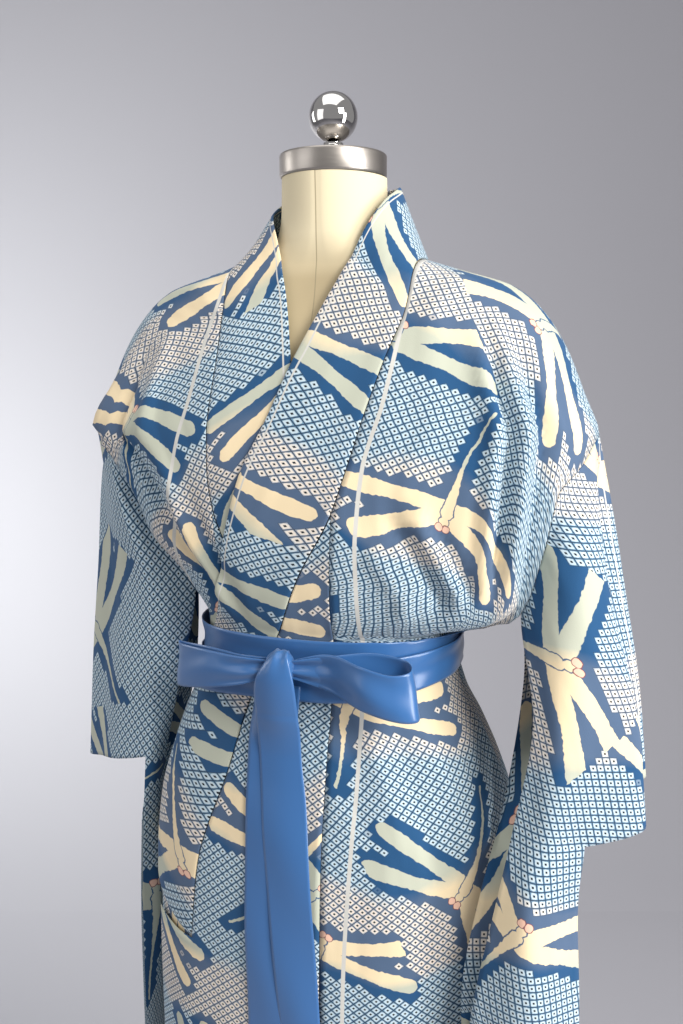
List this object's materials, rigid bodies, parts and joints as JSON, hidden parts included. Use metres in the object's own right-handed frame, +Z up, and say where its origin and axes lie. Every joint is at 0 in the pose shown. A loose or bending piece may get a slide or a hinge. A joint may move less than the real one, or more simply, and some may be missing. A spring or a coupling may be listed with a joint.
{
  "type": "kimono robe on a dress form with a stand",
  "caption": "Full length cotton kimono robe with wide bag sleeves, wrapped left over right on a limbless dress form, tied with a satin ribbon bow.",
  "frame": {"origin": "on the floor, at the middle of the underside of the stand's base", "axes": "+Z up, the dress form faces -Y, +X is the wearer's left"},
  "size_m": [0.6504, 0.33, 1.6677],
  "materials": {
    "printed_cotton": "plain woven cotton, printed in blues and cream",
    "blue_satin": "glossy satin ribbon",
    "form_linen": "matt cream linen",
    "brushed_nickel": "brushed",
    "polished_chrome": "polished",
    "black_enamel": "satin black"
  },
  "bodies": {
    "root": {"body_left": "printed_cotton", "body_right": "printed_cotton", "skirt_front_left": "printed_cotton", "skirt_front_right": "printed_cotton", "skirt_back_left": "printed_cotton", "skirt_back_right": "printed_cotton", "okumi_left": "printed_cotton", "okumi_right": "printed_cotton", "collar": "printed_cotton", "sleeve_left": "printed_cotton", "sleeve_right": "printed_cotton", "sleeve_pouch_left": "printed_cotton", "sleeve_pouch_right": "printed_cotton", "sash_wrap_upper": "blue_satin", "sash_wrap_lower": "blue_satin", "bow_knot": "blue_satin", "bow_loop_left": "blue_satin", "bow_loop_right": "blue_satin", "bow_tail_back": "blue_satin", "bow_tail_front": "blue_satin", "form_torso": "form_linen", "neck_cap": "brushed_nickel", "finial_stub": "polished_chrome", "finial_ball": "polished_chrome", "stand_pole": "black_enamel", "stand_base": "black_enamel"}
  },
  "joints": []
}
